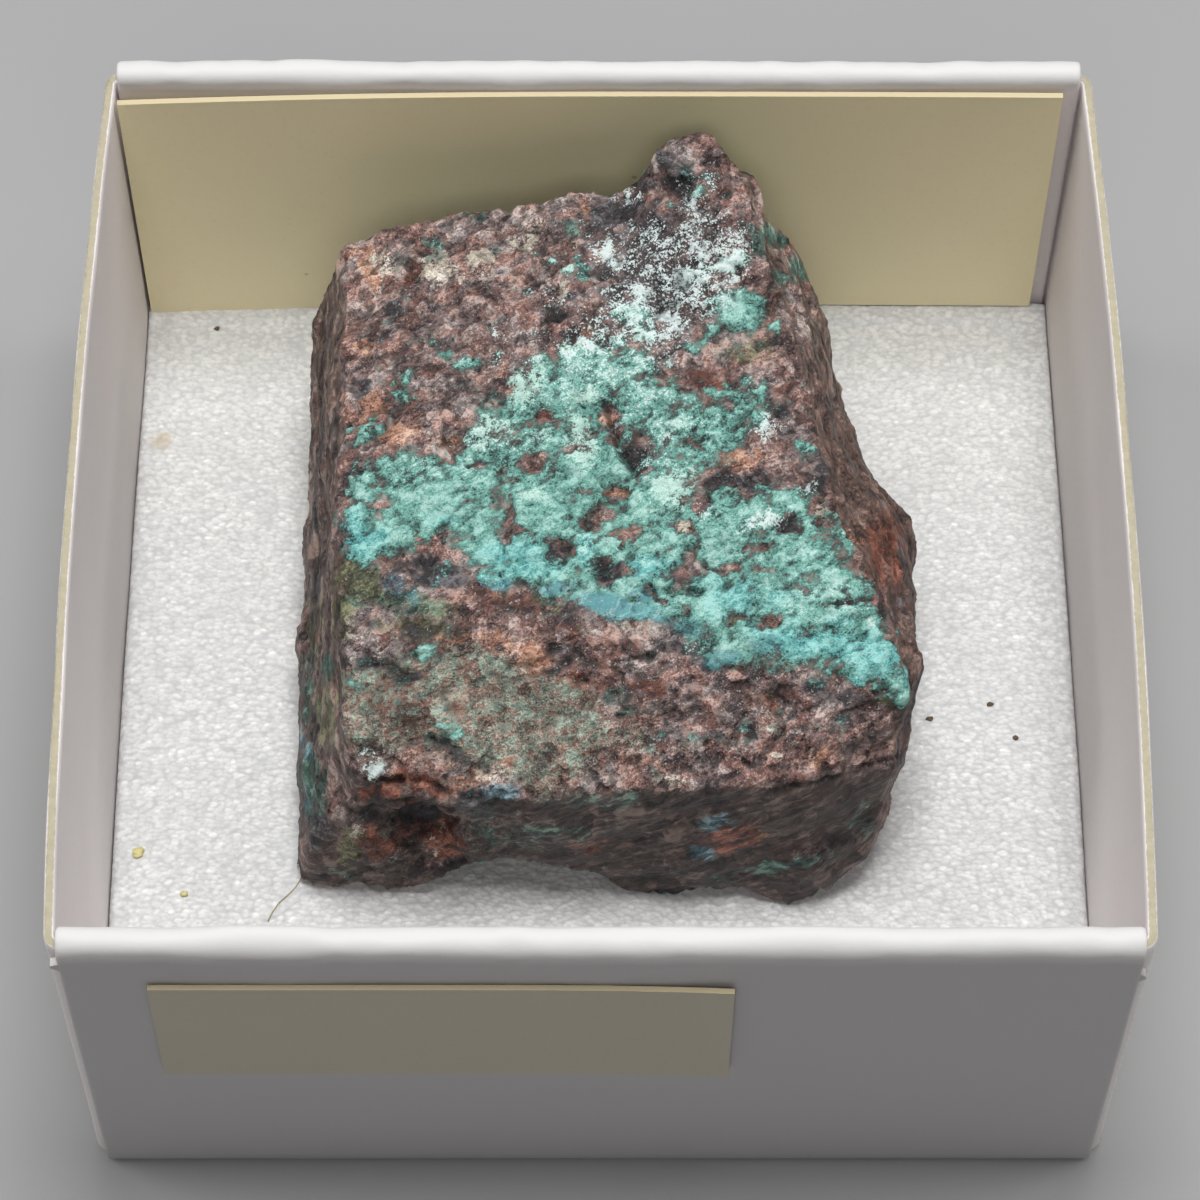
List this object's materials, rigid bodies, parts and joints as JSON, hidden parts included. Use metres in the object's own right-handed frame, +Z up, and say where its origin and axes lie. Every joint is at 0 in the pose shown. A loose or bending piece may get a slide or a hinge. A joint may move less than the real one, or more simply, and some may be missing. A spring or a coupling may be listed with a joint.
{
  "type": "boxed chrysocolla specimen",
  "caption": "Broken lump of brown rock with a thick turquoise chrysocolla crust, resting on a foam pad in a small folded white card tray with a blank name card and a blank label.",
  "frame": {"origin": "middle of the tray's underside", "axes": "+X to the right seen from the front wall with the label, +Y to the back wall with the name card, +Z up"},
  "size_m": [0.042, 0.0414, 0.02],
  "materials": {
    "white_card": "matte",
    "foam": "matte",
    "cream_card": "matte",
    "mineral": "matte"
  },
  "bodies": {
    "root": {"card_tray": "white_card", "foam_pad": "foam", "name_card": "cream_card", "number_label": "cream_card", "chrysocolla_stone": "mineral"}
  },
  "joints": []
}
